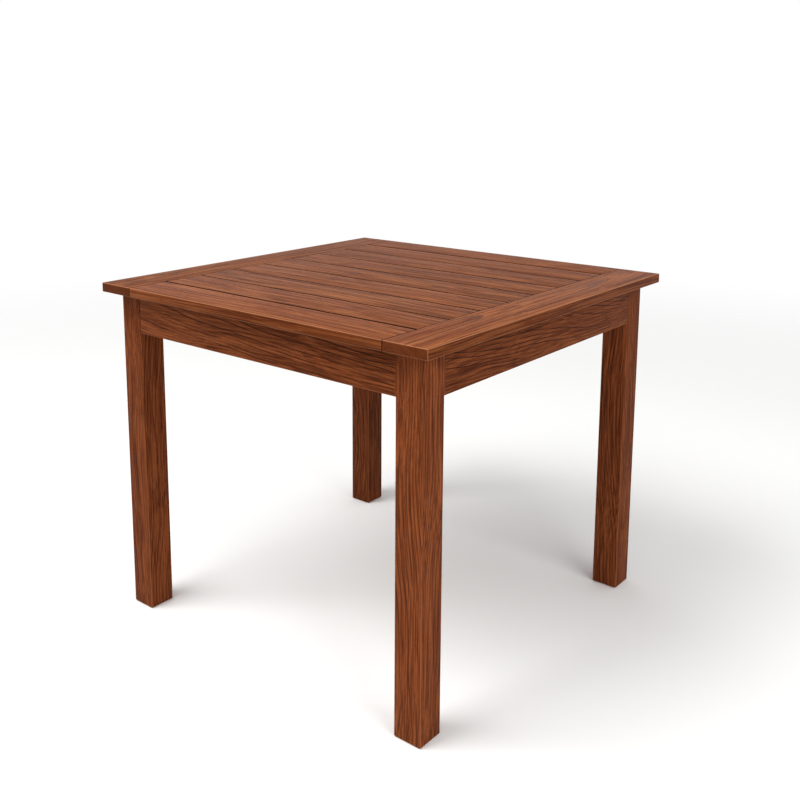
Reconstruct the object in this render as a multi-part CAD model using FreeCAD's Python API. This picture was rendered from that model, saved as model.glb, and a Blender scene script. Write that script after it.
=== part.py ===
import FreeCAD, Part
import math
import os

# Square slatted hardwood dining table. Millimetres, +Z up, +X along the slats, +Y to the back.
# The origin lies on the floor, under the middle of the top.

# Overall sizes
table_height = 745.0
top_width = 880.0
top_depth = 880.0
top_thickness = 20.0
top_overhang = 30.0

# Boards of the top: two end boards, and between them a row of boards with open gaps
board_count = 9
end_board_width = 96.0
edge_gap = 5.5
slat_gap = 3.6
board_arris = 1.5
tenon_length = 22.0
tenon_thickness = 8.0
tenon_shoulder = 16.0

# Legs
leg_side = 60.0
leg_arris = 2.0
leg_flat = 16.0
leg_foot_chamfer = 1.5

# Aprons
apron_height = 85.0
apron_thickness = 22.0
apron_arris = 1.5

# Diagonal corner braces, housed in the aprons and drawn to the legs by hanger bolts
brace_height = 60.0
brace_thickness = 22.0
brace_housing = 6.0
brace_draw_gap = 5.0
brace_screw_inset = 10.0
brace_screw_wood = 12.0
brace_screw_spacing = 34.0

# Battens across the underside of the boards
batten_width = 45.0
batten_thickness = 22.0
batten_housing = 8.0
batten_spacing = 240.0

# Wooden buttons that hold the top down to the aprons and let it shrink and swell
button_width = 36.0
button_body = 31.0
button_thickness = 18.0
button_tongue = 8.0
button_tongue_thickness = 9.0
button_stand_off = 1.5
button_slot_room = 3.0
button_chamfer = 3.0
button_spacing = 420.0

# Hanger bolts with washer and nut
bolt_diameter = 8.0
bolt_grip = 40.0
bolt_tail = 6.0
bolt_point = 4.0
bolt_end_chamfer = 1.0
washer_diameter = 20.0
washer_thickness = 1.6
nut_across_flats = 13.0
nut_height = 6.5

# Countersunk wood screws
screw_diameter = 4.5
screw_head_diameter = 9.0
screw_point = 4.0
screw_tip_diameter = 1.2
screw_sides = 8
screw_bite_share = 0.65

# Foot glides
glide_diameter = 24.0
glide_recess = 2.5
glide_stand = 1.5
glide_rim = 0.8
glide_sides = 24

# Fits: wood in wood, and metal or nylon in its hole, each per side
wood_fit = 0.2
hole_fit = 0.1
overrun = 5.0

# Worked out from the sizes above
frame_top = table_height - top_thickness
leg_span_x = top_width - 2 * top_overhang
leg_span_y = top_depth - 2 * top_overhang
apron_bottom = frame_top - apron_height
board_width = (top_depth - 2 * edge_gap - (board_count - 3) * slat_gap) / board_count
board_length = top_width - 2 * end_board_width
root2 = math.sqrt(2)
flat_sum = 2 * leg_side - leg_flat
brace_outer_sum = flat_sum + brace_draw_gap * root2
brace_inner_sum = brace_outer_sum + brace_thickness * root2
brace_edge = apron_thickness - brace_housing
brace_bottom = frame_top - brace_height
brace_middle = frame_top - brace_height / 2
screw_head_depth = (screw_head_diameter - screw_diameter) / 2
batten_bottom = frame_top - batten_thickness
button_bottom = frame_top - button_thickness

X = FreeCAD.Vector(1, 0, 0)
Y = FreeCAD.Vector(0, 1, 0)
Z = FreeCAD.Vector(0, 0, 1)
ORIGIN = FreeCAD.Vector(0, 0, 0)


def block(x0, x1, y0, y1, z0, z1):
    """A rectangular piece of wood between two corners."""
    return Part.makeBox(x1 - x0, y1 - y0, z1 - z0, FreeCAD.Vector(x0, y0, z0))


def prism(points, z0, z1):
    """A plan outline raised from z0 to z1."""
    corners = [FreeCAD.Vector(x, y, z0) for x, y in points]
    outline = Part.makePolygon(corners + corners[:1])
    return Part.Face(outline).extrude(Z * (z1 - z0))


def turned(profile):
    """A half profile of radius and height points, turned about Z."""
    corners = [FreeCAD.Vector(r, 0, z) for r, z in profile]
    outline = Part.makePolygon(corners + corners[:1])
    return Part.Face(outline).revolve(ORIGIN, Z, 360)


def many_sided(profile, sides):
    """A small turned piece with flat sides, through radius and height points from the top down."""
    angles = [math.radians(360 * side / sides) for side in range(sides)]
    rings = [[FreeCAD.Vector(r * math.cos(a), r * math.sin(a), z) for a in angles] for r, z in profile]
    outlines = [rings[0], rings[-1]]
    for upper, lower in zip(rings, rings[1:]):
        for side in range(sides):
            outlines.append([upper[side - 1], upper[side], lower[side], lower[side - 1]])
    faces = [Part.Face(Part.makePolygon(corners + corners[:1])) for corners in outlines]
    return Part.Solid(Part.Shell(faces))


def aimed(shape, point, direction):
    """Move a piece made along -Z so that its own origin is at point and it runs along direction."""
    moved = shape.copy()
    moved.Placement = FreeCAD.Placement(point, FreeCAD.Rotation(-Z, direction))
    return moved


def edges_where(shape, test):
    """The straight edges whose middle and direction pass a test."""
    found = []
    for edge in shape.Edges:
        start, end = edge.firstVertex().Point, edge.lastVertex().Point
        if test((start + end) * 0.5, (end - start).normalize()):
            found.append(edge)
    return found


def flipped(shape, normal):
    """Mirror a piece in a vertical plane through the middle of the table."""
    return shape.mirror(ORIGIN, normal)


def at_corners(shape):
    """Front left, front right, back left and back right copies of a front left piece."""
    right = flipped(shape, X)
    return {
        "front_left": shape,
        "front_right": right,
        "back_left": flipped(shape, Y),
        "back_right": flipped(right, Y),
    }


def to_front_left(shape):
    """Carry a corner piece, made from the leg's outer corner inwards, to the front left leg."""
    return shape.translated(FreeCAD.Vector(-leg_span_x / 2, -leg_span_y / 2, 0))


# Screws

def screw(length):
    """A countersunk wood screw along -Z with the top of its head at the origin."""
    return many_sided([
        (screw_head_diameter / 2, 0),
        (screw_diameter / 2, -screw_head_depth),
        (screw_diameter / 2, screw_point - length),
        (screw_tip_diameter / 2, -length),
    ], screw_sides)


def screw_hole(length, head_room):
    """The countersunk hole for a screw, with room above its head."""
    mouth = screw_head_diameter / 2 + hole_fit
    shank = screw_diameter / 2 + hole_fit
    sink = [(mouth, 0), (shank, -screw_head_depth), (shank, -length - hole_fit)]
    return many_sided(([(mouth, head_room)] if head_room else []) + sink, screw_sides)


def batten_screw_length():
    return batten_thickness + top_thickness * screw_bite_share


def button_screw_length():
    return button_thickness + top_thickness * screw_bite_share


def brace_screw_length():
    return brace_screw_wood + brace_edge * screw_bite_share


def boards_y():
    """The middle of each board between the end boards, from front to back."""
    middles = [-top_depth / 2 + board_width / 2]
    for number in range(1, board_count):
        at_edge = number == 1 or number == board_count - 1
        middles.append(middles[-1] + board_width + (edge_gap if at_edge else slat_gap))
    return middles


def batten_places():
    return [-batten_spacing / 2, batten_spacing / 2]


def batten_screws_y():
    """The middle of each board's underside between the front and back aprons."""
    clear = leg_span_y / 2 - apron_thickness
    half = board_width / 2
    return [(max(y - half, -clear) + min(y + half, clear)) / 2 for y in boards_y()]


def batten_screw_places():
    """Where the heads of the batten screws lie, one to each board and batten."""
    return [FreeCAD.Vector(x, y, batten_bottom) for x in batten_places() for y in batten_screws_y()]


def button_screw_depth():
    """How far a button's screw stands in from the outer face of its apron."""
    return apron_thickness + button_stand_off + button_body / 2


def button_screw_places():
    """Where the heads of the button screws lie, two along each apron."""
    across_y = leg_span_y / 2 - button_screw_depth()
    across_x = leg_span_x / 2 - button_screw_depth()
    places = []
    for along in (-button_spacing / 2, button_spacing / 2):
        for side in (-1, 1):
            places.append(FreeCAD.Vector(along, side * across_y, button_bottom))
            places.append(FreeCAD.Vector(side * across_x, along, button_bottom))
    return places


# The knock-down corner joint, made once from the leg's outer corner at x = y = 0, inwards

def brace_prism(fit, top):
    """The brace's plan, housed at 45 degrees in both aprons, grown by fit on every side."""
    outer = brace_outer_sum - fit * root2
    inner = brace_inner_sum + fit * root2
    edge = brace_edge - fit
    outline = [(outer - edge, edge), (inner - edge, edge), (edge, inner - edge), (edge, outer - edge)]
    return prism(outline, brace_bottom - fit, top)


def brace_screw_spots():
    """Head point and direction of the four screws of one brace."""
    along = brace_outer_sum - brace_edge + brace_screw_inset
    seat = brace_edge + brace_screw_wood
    spots = []
    for height in (brace_middle - brace_screw_spacing / 2, brace_middle + brace_screw_spacing / 2):
        spots.append((FreeCAD.Vector(along, seat, height), -Y))
        spots.append((FreeCAD.Vector(seat, along, height), -X))
    return spots


def brace_screw_holes():
    hole = screw_hole(brace_screw_length(), brace_thickness)
    return [aimed(hole, point, direction) for point, direction in brace_screw_spots()]


def diagonal_point(plan_sum, height):
    """The point on the corner's diagonal where x + y is plan_sum."""
    return FreeCAD.Vector(plan_sum / 2, plan_sum / 2, height)


def bolt_length():
    """From the wood thread's point in the leg to the tail beyond the nut."""
    through = brace_draw_gap + brace_thickness + washer_thickness + nut_height
    return bolt_grip + through + bolt_tail


def bolt_point_at():
    """Where the hanger bolt's point ends, inside the leg."""
    return diagonal_point(flat_sum - bolt_grip * root2, brace_middle)


def placed_inwards(shape, point):
    """Turn a piece made along +Z to run along the corner's diagonal, towards the room inside."""
    moved = shape.copy()
    moved.Placement = FreeCAD.Placement(point, FreeCAD.Rotation(Z, X + Y))
    return moved


def hanger_bolt():
    radius = bolt_diameter / 2
    length = bolt_length()
    bolt = turned([
        (0, 0),
        (radius, bolt_point),
        (radius, length - bolt_end_chamfer),
        (radius - bolt_end_chamfer, length),
        (0, length),
    ])
    return placed_inwards(bolt, bolt_point_at())


def hanger_bolt_hole():
    radius = bolt_diameter / 2 + hole_fit
    hole = turned([(0, -hole_fit), (radius, bolt_point), (radius, bolt_length()), (0, bolt_length())])
    return placed_inwards(hole, bolt_point_at())


def bolt_washer():
    ring = Part.makeCylinder(washer_diameter / 2, washer_thickness)
    bore = Part.makeCylinder(bolt_diameter / 2 + hole_fit, washer_thickness)
    return placed_inwards(ring.cut(bore), diagonal_point(brace_inner_sum, brace_middle))


def bolt_nut():
    """A hexagon nut with its outer face chamfered at the corners."""
    corner = nut_across_flats / math.sqrt(3)
    angles = [math.radians(60 * side) for side in range(6)]
    hexagon = prism([(corner * math.cos(a), corner * math.sin(a)) for a in angles], 0, nut_height)
    flat = nut_across_flats / 2
    rounding = Part.makeCone(flat + nut_height, flat, nut_height)
    bore = Part.makeCylinder(bolt_diameter / 2 + hole_fit, nut_height)
    nut = hexagon.common(rounding).cut(bore)
    seat = brace_inner_sum + washer_thickness * root2
    return placed_inwards(nut, diagonal_point(seat, brace_middle))


def corner_brace():
    """The diagonal block with its bolt hole and four counterbored screw holes."""
    return brace_prism(0, frame_top).cut([hanger_bolt_hole()] + brace_screw_holes())


def glide():
    """A nylon disc pressed into a recess in the foot of the leg, standing a little proud."""
    radius = glide_diameter / 2
    height = glide_stand + glide_recess
    disc = many_sided([(radius, height), (radius, glide_rim), (radius - glide_rim, 0)], glide_sides)
    return disc.translated(FreeCAD.Vector(leg_side / 2, leg_side / 2, 0))


def glide_socket():
    """The recess for the glide in the foot of a leg."""
    radius = glide_diameter / 2 + hole_fit
    socket = many_sided([(radius, glide_stand + glide_recess), (radius, 0)], glide_sides)
    return socket.translated(FreeCAD.Vector(leg_side / 2, leg_side / 2, 0))


def leg():
    """A square post with eased arrises, an inner flat for the bolt and a recess for its glide."""
    post = block(0, leg_side, 0, leg_side, glide_stand, frame_top)
    post = post.makeChamfer(leg_arris, edges_where(post, lambda mid, way: abs(way.z) > 0.5))
    foot = edges_where(post, lambda mid, way: mid.z < glide_stand + leg_arris and abs(way.z) < 0.5)
    post = post.makeChamfer(leg_foot_chamfer, foot)
    past = leg_side + overrun
    flat = [(flat_sum - past, past), (past, flat_sum - past), (past, past)]
    inner_flat = prism(flat, apron_bottom, frame_top + overrun)
    return post.cut([inner_flat, hanger_bolt_hole(), glide_socket()])


# Aprons and the buttons that grip their slots

def button_profile_piece(fit, tongue_room, half_width):
    """An L shaped button across an apron at u = 0: v runs in from the apron's outer face."""
    inner_face = apron_thickness
    body_start = inner_face + button_stand_off
    body_end = body_start + button_body
    tongue_tip = inner_face - button_tongue - tongue_room
    tongue_top = button_bottom + button_tongue_thickness + fit
    outline = [
        (tongue_tip, button_bottom - fit),
        (body_end - button_chamfer, button_bottom - fit),
        (body_end, button_bottom + button_chamfer),
        (body_end, frame_top),
        (body_start, frame_top),
        (body_start, tongue_top),
        (tongue_tip, tongue_top),
    ]
    corners = [FreeCAD.Vector(-half_width, v, z) for v, z in outline]
    side = Part.Face(Part.makePolygon(corners + corners[:1]))
    return side.extrude(X * (2 * half_width))


def button():
    """One button, with the hole for its screw."""
    piece = button_profile_piece(0, 0, button_width / 2)
    head = FreeCAD.Vector(0, button_screw_depth(), button_bottom)
    return piece.cut(aimed(screw_hole(button_screw_length(), overrun), head, Z))


def button_slot():
    """The short slot in an apron's inner face that takes a button's tongue."""
    half_slot = button_width / 2 + button_slot_room
    tongue_top = button_bottom + button_tongue_thickness + wood_fit
    tip = apron_thickness - button_tongue - wood_fit
    return block(-half_slot, half_slot, tip, apron_thickness + overrun, button_bottom - wood_fit, tongue_top)


def apron(span, with_battens):
    """An apron between two legs: u along X about its middle, v along Y from its outer face."""
    half_run = span / 2 - leg_side
    rail = block(-half_run, half_run, 0, apron_thickness, apron_bottom, frame_top)
    lower = edges_where(rail, lambda mid, way: mid.z < apron_bottom + apron_arris and abs(way.x) > 0.5)
    ends = edges_where(rail, lambda mid, way: mid.y < apron_arris and abs(way.z) > 0.5)
    rail = rail.makeChamfer(apron_arris, lower + ends)
    corner = FreeCAD.Vector(-span / 2, 0, 0)
    tools = [brace_prism(wood_fit, frame_top + overrun)] + brace_screw_holes()
    left_tools = [tool.translated(corner) for tool in tools]
    cuts = left_tools + [flipped(tool, X) for tool in left_tools]
    for along in (-button_spacing / 2, button_spacing / 2):
        cuts.append(button_slot().translated(X * along))
    if with_battens:
        depth = apron_thickness - batten_housing - wood_fit
        half = batten_width / 2 + wood_fit
        for along in batten_places():
            cuts.append(block(along - half, along + half, depth, apron_thickness + overrun,
                              batten_bottom - wood_fit, frame_top + overrun))
    return rail.cut(cuts)


def to_front(shape):
    """Carry a piece made on an apron's own run to the front apron."""
    return shape.translated(Y * (-leg_span_y / 2))


def to_left(shape):
    """Carry a piece made on an apron's own run to the left apron."""
    return shape.mirror(ORIGIN, X - Y).translated(X * (-leg_span_x / 2))


def top_buttons():
    """Two buttons on each apron."""
    pieces = []
    for along in (-button_spacing / 2, button_spacing / 2):
        one = button().translated(X * along)
        pieces += [to_front(one), flipped(to_front(one), Y), to_left(one), flipped(to_left(one), X)]
    return pieces


# The top

def batten(x):
    """A cross batten under the boards, its ends housed in the front and back aprons."""
    half_length = leg_span_y / 2 - apron_thickness + batten_housing
    bar = block(x - batten_width / 2, x + batten_width / 2, -half_length, half_length,
                batten_bottom, frame_top)
    hole = screw_hole(batten_screw_length(), overrun)
    return bar.cut([aimed(hole, place, Z) for place in batten_screw_places() if place.x == x])


def top_screw_holes():
    """Every hole that the battens and buttons need in the top."""
    batten_hole = screw_hole(batten_screw_length(), 0)
    button_hole = screw_hole(button_screw_length(), 0)
    holes = [aimed(batten_hole, place, Z) for place in batten_screw_places()]
    return holes + [aimed(button_hole, place, Z) for place in button_screw_places()]


def eased(board):
    """Ease every outer edge of a board of the top."""
    return board.makeChamfer(board_arris, board.Edges)


def holes_through(piece, holes):
    """The holes whose box meets a piece."""
    return [hole for hole in holes if hole.BoundBox.intersect(piece.BoundBox)]


def tenon(y, fit):
    """The stub tenon on one end of the board whose middle is at y, in its mortise's place."""
    half = board_width / 2 - tenon_shoulder + fit
    middle = frame_top + top_thickness / 2
    inner = board_length / 2
    return block(inner - (overrun if fit else 0), inner + tenon_length + fit, y - half, y + half,
                 middle - tenon_thickness / 2 - fit, middle + tenon_thickness / 2 + fit)


def top_board(y, holes):
    """A board of the top between the end boards, with a stub tenon at each end."""
    board = eased(block(-board_length / 2, board_length / 2, y - board_width / 2, y + board_width / 2,
                        frame_top, table_height))
    right = tenon(y, 0)
    board = board.fuse([right, flipped(right, X)])
    return board.cut(holes_through(board, holes))


def end_board(holes):
    """The right end board, mortised for every board's tenon."""
    board = eased(block(board_length / 2, top_width / 2, -top_depth / 2, top_depth / 2,
                        frame_top, table_height))
    mortises = [tenon(y, wood_fit) for y in boards_y()]
    return board.cut(mortises + holes_through(board, holes))


# Writing the pieces

def save(name, pieces):
    """One STEP file for each named piece, or for a group of like pieces."""
    shape = pieces if not isinstance(pieces, list) else Part.makeCompound(pieces)
    shape.exportStep("parts/" + name + ".step")
    print(name, len(shape.Solids), round(shape.Volume), shape.isValid())


def save_corner_joints():
    for name, piece in at_corners(to_front_left(leg())).items():
        save("leg_" + name, piece)
    for name, piece in at_corners(to_front_left(corner_brace())).items():
        save("corner_brace_" + name, piece)
    for name, piece in at_corners(to_front_left(glide())).items():
        save("foot_glide_" + name, piece)
    save("hanger_bolts", list(at_corners(to_front_left(hanger_bolt())).values()))
    save("bolt_washers", list(at_corners(to_front_left(bolt_washer())).values()))
    save("bolt_nuts", list(at_corners(to_front_left(bolt_nut())).values()))
    brace_screws = []
    for point, direction in brace_screw_spots():
        one = to_front_left(aimed(screw(brace_screw_length()), point, direction))
        brace_screws += at_corners(one).values()
    save("brace_screws", brace_screws)


def save_aprons():
    front = to_front(apron(leg_span_x, True))
    left = to_left(apron(leg_span_y, False))
    save("apron_front", front)
    save("apron_back", flipped(front, Y))
    save("apron_left", left)
    save("apron_right", flipped(left, X))
    save("top_buttons", top_buttons())


def save_top():
    holes = top_screw_holes()
    middles = boards_y()
    names = ["front_edge_board"] + ["top_slat_%d" % number for number in range(1, board_count - 1)]
    for name, y in zip(names + ["back_edge_board"], middles):
        save(name, top_board(y, holes))
    right = end_board(holes)
    save("end_board_right", right)
    save("end_board_left", flipped(right, X))
    for name, x in zip(("batten_left", "batten_right"), batten_places()):
        save(name, batten(x))
    batten_screw = screw(batten_screw_length())
    button_screw = screw(button_screw_length())
    save("batten_screws", [aimed(batten_screw, place, Z) for place in batten_screw_places()])
    save("button_screws", [aimed(button_screw, place, Z) for place in button_screw_places()])


os.makedirs("parts", exist_ok=True)
save_corner_joints()
save_aprons()
save_top()
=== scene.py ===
import math

import bmesh
import bpy
from mathutils import Matrix, Vector


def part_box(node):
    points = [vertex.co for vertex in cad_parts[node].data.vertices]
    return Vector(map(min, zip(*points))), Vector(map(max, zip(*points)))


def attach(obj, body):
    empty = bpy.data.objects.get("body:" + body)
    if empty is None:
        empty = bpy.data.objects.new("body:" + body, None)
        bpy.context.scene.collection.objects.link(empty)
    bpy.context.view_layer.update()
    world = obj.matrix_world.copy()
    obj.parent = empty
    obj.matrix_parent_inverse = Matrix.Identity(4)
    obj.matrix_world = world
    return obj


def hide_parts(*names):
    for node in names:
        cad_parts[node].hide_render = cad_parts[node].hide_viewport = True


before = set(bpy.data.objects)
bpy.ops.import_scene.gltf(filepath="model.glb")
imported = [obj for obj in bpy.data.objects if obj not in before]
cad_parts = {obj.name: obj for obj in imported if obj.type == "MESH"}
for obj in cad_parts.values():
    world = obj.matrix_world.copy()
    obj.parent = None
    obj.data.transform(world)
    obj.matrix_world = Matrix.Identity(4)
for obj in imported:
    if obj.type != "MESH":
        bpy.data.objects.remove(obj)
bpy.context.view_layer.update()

# Square slatted hardwood dining table. Metres, +Z up, +X along the slats, +Y to the back.

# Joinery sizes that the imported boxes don't tell
board_arris = 0.0015
gap_arris = 0.001
leg_arris = 0.002
foot_arris = 0.0015
apron_arris = 0.0015
round_steps = 4
tenon_thickness = 0.008
tenon_shoulder = 0.016
leg_flat = 0.016
brace_housing = 0.006
brace_draw_gap = 0.005
brace_thickness = 0.022
brace_height = 0.060
brace_screw_inset = 0.010
brace_screw_wood = 0.012
brace_screw_spacing = 0.034
hidden_arris = 0.001
button_stand_off = 0.0015
button_tongue = 0.008
button_tongue_thickness = 0.009
button_thickness = 0.018
button_body = 0.031
button_width = 0.036
button_slot_width = 0.042
button_chamfer = 0.003
button_spacing = 0.420
button_pith = (0.060, -0.040)
bolt_diameter = 0.008
bolt_grip = 0.040
bolt_tail = 0.006
bolt_thread_pitch = 0.00125
bolt_thread_root_share = 0.86
bolt_wood_pitch = 0.003
bolt_wood_root_share = 0.75
bolt_end_chamfer = 0.001
washer_diameter = 0.020
washer_thickness = 0.0016
washer_ease = washer_thickness / 5
nut_across_flats = 0.013
nut_height = 0.0065
nut_chamfer = 0.0007
nut_flare = nut_chamfer / 2
screw_diameter = 0.0045
screw_root_share = 0.72
screw_plain_share = 0.4
screw_pitch = 0.0018
screw_head_diameter = 0.009
screw_head_edge = 0.0003
screw_point = 0.004
screw_bite_share = 0.65
recess_length = 0.0052
recess_width = 0.0011
recess_depth = 0.0016
recess_floor_share = 0.5
glide_rim = 0.0008
glide_recess_steps = 48
turning_steps = 24
wood_fit = 0.0002
hole_fit = 0.0001
overrun = 0.005
merge_distance = 0.000005
micrometre_digits = 6
smooth_angle = math.radians(30)

# The cosine past which an edge runs along an axis, or a face looks along it
along_axis = 0.9

# How near a flat a point lies on it, as a share of the arris beside the flat
flat_share = 0.01

# How far from a gap or a joint a board carries painted shade: short of its arris, so that its flats stay
# light
painted_gap_shade_reach = 0.95 * gap_arris

# How much warmer a board's sides are where painted shade darkens them, as a share of how much darker they are
side_shade_warmth_share = 0.5

root2, root3 = math.sqrt(2), math.sqrt(3)
corners = {"front_left": (-1, -1), "front_right": (1, -1), "back_left": (-1, 1), "back_right": (1, 1)}
battens = ["batten_left", "batten_right"]
slat_count = 7
slats = ["top_slat_%d" % (number + 1) for number in range(slat_count)]
long_boards = ["front_edge_board"] + slats + ["back_edge_board"]
end_boards = ["end_board_left", "end_board_right"]

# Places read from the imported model
top_low, left_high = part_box("end_board_left")
right_low, top_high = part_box("end_board_right")
inner_left, inner_right = left_high.x, right_low.x
frame_top = top_low.z
leg_low, leg_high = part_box("leg_front_left")
leg_side = leg_high.x - leg_low.x
leg_reach = -leg_low.x
apron_low, apron_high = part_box("apron_front")
apron_bottom = apron_low.z
apron_thickness = apron_high.y - apron_low.y
brace_edge = apron_thickness - brace_housing
flat_sum = 2 * leg_side - leg_flat
brace_outer_sum = flat_sum + brace_draw_gap * root2
brace_inner_sum = brace_outer_sum + brace_thickness * root2
brace_bottom = frame_top - brace_height
brace_middle = frame_top - brace_height / 2
batten_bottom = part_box("batten_left")[0].z
button_bottom = frame_top - button_thickness
top_thickness = top_high.z - frame_top
screw_head_depth = (screw_head_diameter - screw_diameter) / 2


# Shapes

def add_block(shape, low, high, turn=None):
    """Add a plain block between two corners, turned or moved by a matrix where one is given."""
    low, high = Vector(low), Vector(high)
    place = Matrix.Translation((low + high) / 2) @ Matrix.Diagonal((*(high - low), 1))
    if turn:
        place = turn @ place
    return bmesh.ops.create_cube(shape, size=1, matrix=place)["verts"]


def block(low, high):
    shape = bmesh.new()
    add_block(shape, low, high)
    return shape


def round_over(shape, edges, radius, steps=round_steps):
    """Round edges over with a quarter circle, or chamfer them in one step."""
    bmesh.ops.bevel(shape, geom=edges, offset=radius, offset_type="OFFSET", affect="EDGES",
                    segments=steps, profile=0.5, material=-1, clamp_overlap=True)


def runs_along(way, axis):
    """Whether a direction runs along an axis, either way."""
    return abs(way[axis]) > along_axis


def edges_where(shape, test):
    """The edges whose middle and way, their direction, pass a test."""
    found = []
    for edge in shape.edges:
        start, end = edge.verts[0].co, edge.verts[1].co
        if test((start + end) / 2, (end - start).normalized()):
            found.append(edge)
    return found


def edges_along(shape, axis):
    return edges_where(shape, lambda mid, way: runs_along(way, axis))


def as_object(name, shape):
    """A scene object at the origin that holds a finished shape."""
    mesh = bpy.data.meshes.new(name)
    shape.to_mesh(mesh)
    shape.free()
    made = bpy.data.objects.new(name, mesh)
    bpy.context.scene.collection.objects.link(made)
    return made


def face_outwards(shape):
    """Turn the faces of every closed shape in a mesh outwards."""
    shape.normal_update()
    bmesh.ops.recalc_face_normals(shape, faces=shape.faces)
    shape.normal_update()
    left = set(shape.faces)
    while left:
        closed_shape, fresh = [], [left.pop()]
        while fresh:
            face = fresh.pop()
            closed_shape.append(face)
            beside = {other for edge in face.edges for other in edge.link_faces} & left
            left -= beside
            fresh.extend(beside)
        volume = sum(face.calc_area() * face.normal.dot(face.calc_center_median()) for face in closed_shape)
        if volume < 0:
            bmesh.ops.reverse_faces(shape, faces=closed_shape)


def carve(shape, cutter):
    """Cut the closed shapes in one mesh out of another."""
    face_outwards(shape)
    face_outwards(cutter)
    body = as_object("uncut_piece", shape)
    tool = as_object("cutting_shape", cutter)
    cut = body.modifiers.new("cut", "BOOLEAN")
    cut.operation = "DIFFERENCE"
    cut.solver = "EXACT"
    cut.use_self = True
    cut.object = tool
    bpy.context.view_layer.update()
    carved = bmesh.new()
    carved.from_object(body, bpy.context.evaluated_depsgraph_get())
    for spent in (body, tool):
        mesh = spent.data
        bpy.data.objects.remove(spent)
        bpy.data.meshes.remove(mesh)
    bmesh.ops.remove_doubles(carved, verts=carved.verts, dist=merge_distance)
    return carved


def cut_off(shape, point, outward):
    """Cut away all that lies past a plane, and close the cut."""
    geometry = shape.verts[:] + shape.edges[:] + shape.faces[:]
    cut = bmesh.ops.bisect_plane(shape, geom=geometry, plane_co=point, plane_no=outward, clear_outer=True)
    rim = [part for part in cut["geom_cut"] if isinstance(part, bmesh.types.BMEdge)]
    bmesh.ops.contextual_create(shape, geom=rim)


def add_copies(shape, master, places):
    """Add a copy of a master shape at each place, and let the master go."""
    held = bpy.data.meshes.new("master_shape")
    master.to_mesh(held)
    master.free()
    for place in places:
        copy = held.copy()
        copy.transform(place)
        shape.from_mesh(copy)
        bpy.data.meshes.remove(copy)
    bpy.data.meshes.remove(held)


def repeated(master, places):
    """One shape made of a copy of a master shape at each place."""
    shape = bmesh.new()
    add_copies(shape, master, places)
    return shape


def turned(profile, closed=False):
    """Spin a half profile of radius and height points about the upright."""
    shape = bmesh.new()
    points = [shape.verts.new((radius, 0, height)) for radius, height in profile]
    ends = points[1:] + points[:1] if closed else points[1:]
    edges = [shape.edges.new(pair) for pair in zip(points, ends)]
    bmesh.ops.spin(shape, geom=points + edges, cent=(0, 0, 0), axis=(0, 0, 1), angle=math.tau,
                   steps=turning_steps, use_merge=True)
    bmesh.ops.remove_doubles(shape, verts=shape.verts, dist=merge_distance)
    return shape


def rod(radius, start, end):
    """A plain round rod on the upright, from one height to another."""
    return turned([(0, start), (radius, start), (radius, end), (0, end)])


def thread(crest, root, start, end, pitch):
    """The crests and roots of a thread, as points of a half profile."""
    turns = round((end - start) / pitch)
    step = (end - start) / turns
    points = []
    for number in range(turns):
        points.append((root, start + number * step))
        points.append((crest, start + (number + 0.5) * step))
    return points + [(root, end)]


def aimed(point, direction):
    """Place a piece made along -Z so that it runs from a point along a direction."""
    turn = Vector((0, 0, -1)).rotation_difference(Vector(direction)).to_matrix().to_4x4()
    return Matrix.Translation(point) @ turn


def quarter_turn(quarters):
    """A turn about the upright, from the front of the table to its right, back or left."""
    return Matrix.Rotation(math.radians(90 * quarters), 4, "Z")


def corner_plan(sign_x, sign_y):
    """From a corner's own plan, with its origin at the leg's outer corner and both axes inwards."""
    outer = Matrix.Translation((sign_x * leg_reach, sign_y * leg_reach, 0))
    return outer @ Matrix.Diagonal((-sign_x, -sign_y, 1, 1))


def diagonal_block(shape, near_sum, far_sum, half_width, bottom, top, plan):
    """Add a block square to a corner's diagonal, between two sums of its plan's x and y."""
    turn = plan @ Matrix.Rotation(math.radians(45), 4, "Z")
    low = (near_sum / root2, -half_width, bottom)
    high = (far_sum / root2, half_width, top)
    add_block(shape, low, high, turn)


# Screws and bolts: their shapes and places, and the holes for them

def screw_shape(length):
    """A countersunk wood screw with a cross recess, along -Z with the top of its head at the origin."""
    head, shank = screw_head_diameter / 2, screw_diameter / 2
    root = shank * screw_root_share
    plain_end = -screw_plain_share * length
    profile = [(0, 0), (head - screw_head_edge, 0), (head, -screw_head_edge / 2),
               (shank, -screw_head_depth - screw_head_edge / 2), (shank, plain_end)]
    profile += thread(shank, root, plain_end - screw_pitch / 4, screw_point - length, -screw_pitch)
    profile += [(0, -length)]
    shape = turned(profile)
    cutter = bmesh.new()
    for long_axis in (0, 1):
        half = [recess_width / 2, recess_width / 2]
        half[long_axis] = recess_length / 2
        arm = add_block(cutter, (-half[0], -half[1], -recess_depth), (*half, overrun))
        for vert in arm:
            if vert.co.z < 0:
                vert.co[long_axis] *= recess_floor_share
    return carve(shape, cutter)


def screw_holes(places, length, head_room):
    """The countersunk holes for screws, with room above their heads."""
    mouth, shank = screw_head_diameter / 2 + hole_fit, screw_diameter / 2 + hole_fit
    hole = turned([(0, head_room), (mouth, head_room), (mouth, 0), (shank, -screw_head_depth),
                   (shank, -length - hole_fit), (0, -length - hole_fit)])
    return repeated(hole, places)


def batten_screw_places(batten):
    """Where one batten's screws lie: under the middle of each board between the aprons."""
    low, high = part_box(batten)
    clear = leg_reach - apron_thickness
    places = []
    for board in long_boards:
        board_low, board_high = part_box(board)
        middle = (max(board_low.y, -clear) + min(board_high.y, clear)) / 2
        places.append(aimed(((low.x + high.x) / 2, middle, batten_bottom), (0, 0, 1)))
    return places


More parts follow.
